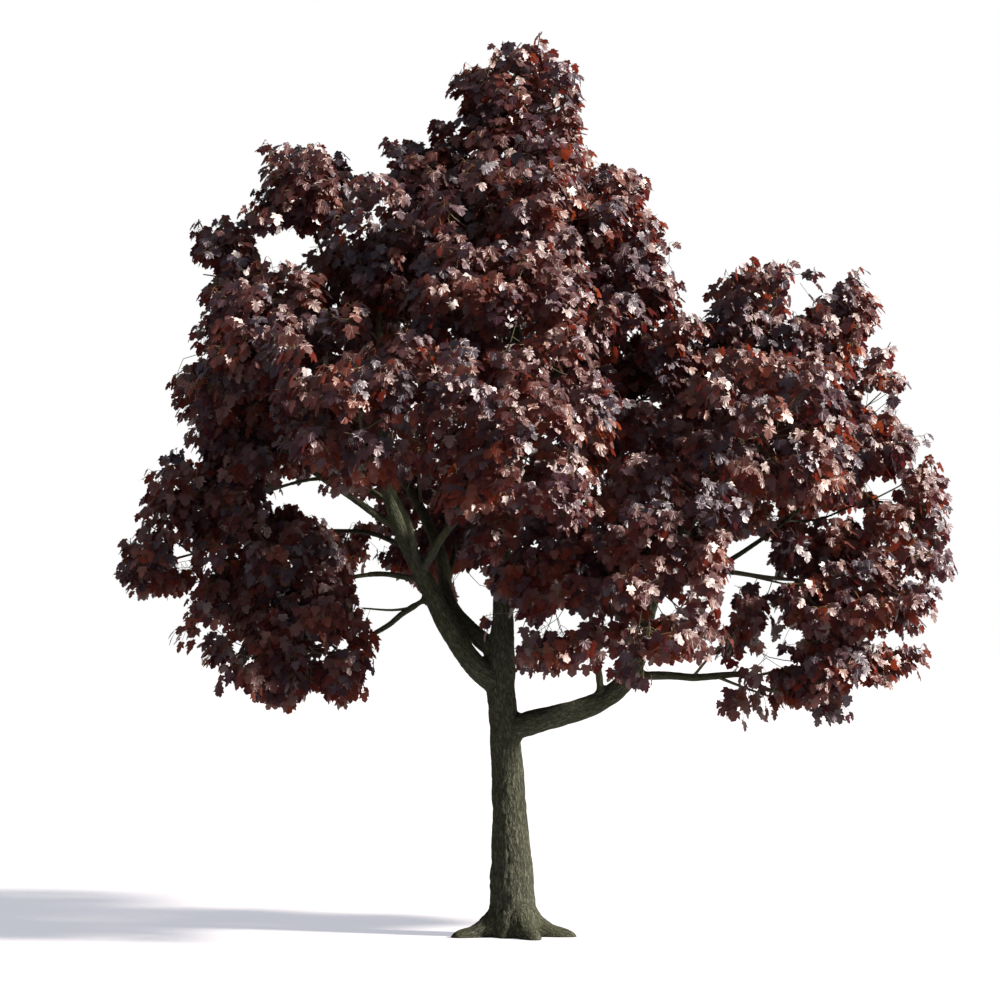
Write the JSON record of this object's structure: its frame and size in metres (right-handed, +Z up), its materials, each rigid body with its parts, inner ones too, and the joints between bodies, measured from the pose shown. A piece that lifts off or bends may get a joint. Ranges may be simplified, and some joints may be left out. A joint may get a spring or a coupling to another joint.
{
  "type": "maple tree",
  "caption": "Broad purple-leaved garden maple with a short flared trunk, forked curving boughs and a full crown of lobed leaves in separate masses.",
  "frame": {"origin": "middle of the flat cut under the trunk, at ground level", "axes": "+Z up, along the trunk; +X towards the side of the long low bough; -Y towards the side that shows the open fork"},
  "size_m": [8.4058, 6.0395, 8.8747],
  "materials": {
    "bark": "rough grey-brown bark with shallow upright furrows",
    "foliage": "dark maroon five-lobed leaves with a soft sheen"
  },
  "bodies": {
    "root": {"trunk": "bark", "bough_left": "bark", "bough_left_top": "bark", "bough_left_tip_upper": "bark", "bough_left_upper": "bark", "bough_left_mid": "bark", "bough_left_front": "bark", "bough_left_low_tip": "bark", "bough_left_far_tip": "bark", "bough_left_lower": "bark", "bough_left_bottom": "bark", "bough_behind": "bark", "bough_low_back": "bark", "bough_front": "bark", "bough_right_shoulder": "bark", "bough_right_centre": "bark", "bough_right": "bark", "bough_low_centre": "bark", "bough_right_low": "bark", "bough_low_right": "bark", "bough_right_lower": "bark", "bough_right_mid": "bark", "bough_right_tip": "bark", "bough_right_top": "bark", "bough_right_top_outer": "bark", "bough_right_back": "bark", "leaves_top": "foliage", "leaves_upper_left": "foliage", "leaves_upper_front": "foliage", "leaves_upper_right": "foliage", "leaves_upper_back": "foliage", "leaves_centre_front": "foliage", "leaves_centre_back": "foliage", "leaves_right_shoulder": "foliage", "leaves_left_top": "foliage", "leaves_left_inner": "foliage", "leaves_left_tip_upper": "foliage", "leaves_left_upper": "foliage", "leaves_left_back": "foliage", "leaves_left_mid": "foliage", "leaves_left_front": "foliage", "leaves_left_low_tip": "foliage", "leaves_left_far_tip": "foliage", "leaves_left_lower": "foliage", "leaves_left_bottom": "foliage", "leaves_low_back": "foliage", "leaves_mid_front": "foliage", "leaves_low_centre": "foliage", "leaves_low_right": "foliage", "leaves_right_centre": "foliage", "leaves_right_top": "foliage", "leaves_right_top_outer": "foliage", "leaves_right_body": "foliage", "leaves_right_back": "foliage", "leaves_right_mid": "foliage", "leaves_right_tip": "foliage", "leaves_right_lower": "foliage", "leaves_right_bottom": "foliage"}
  },
  "joints": []
}
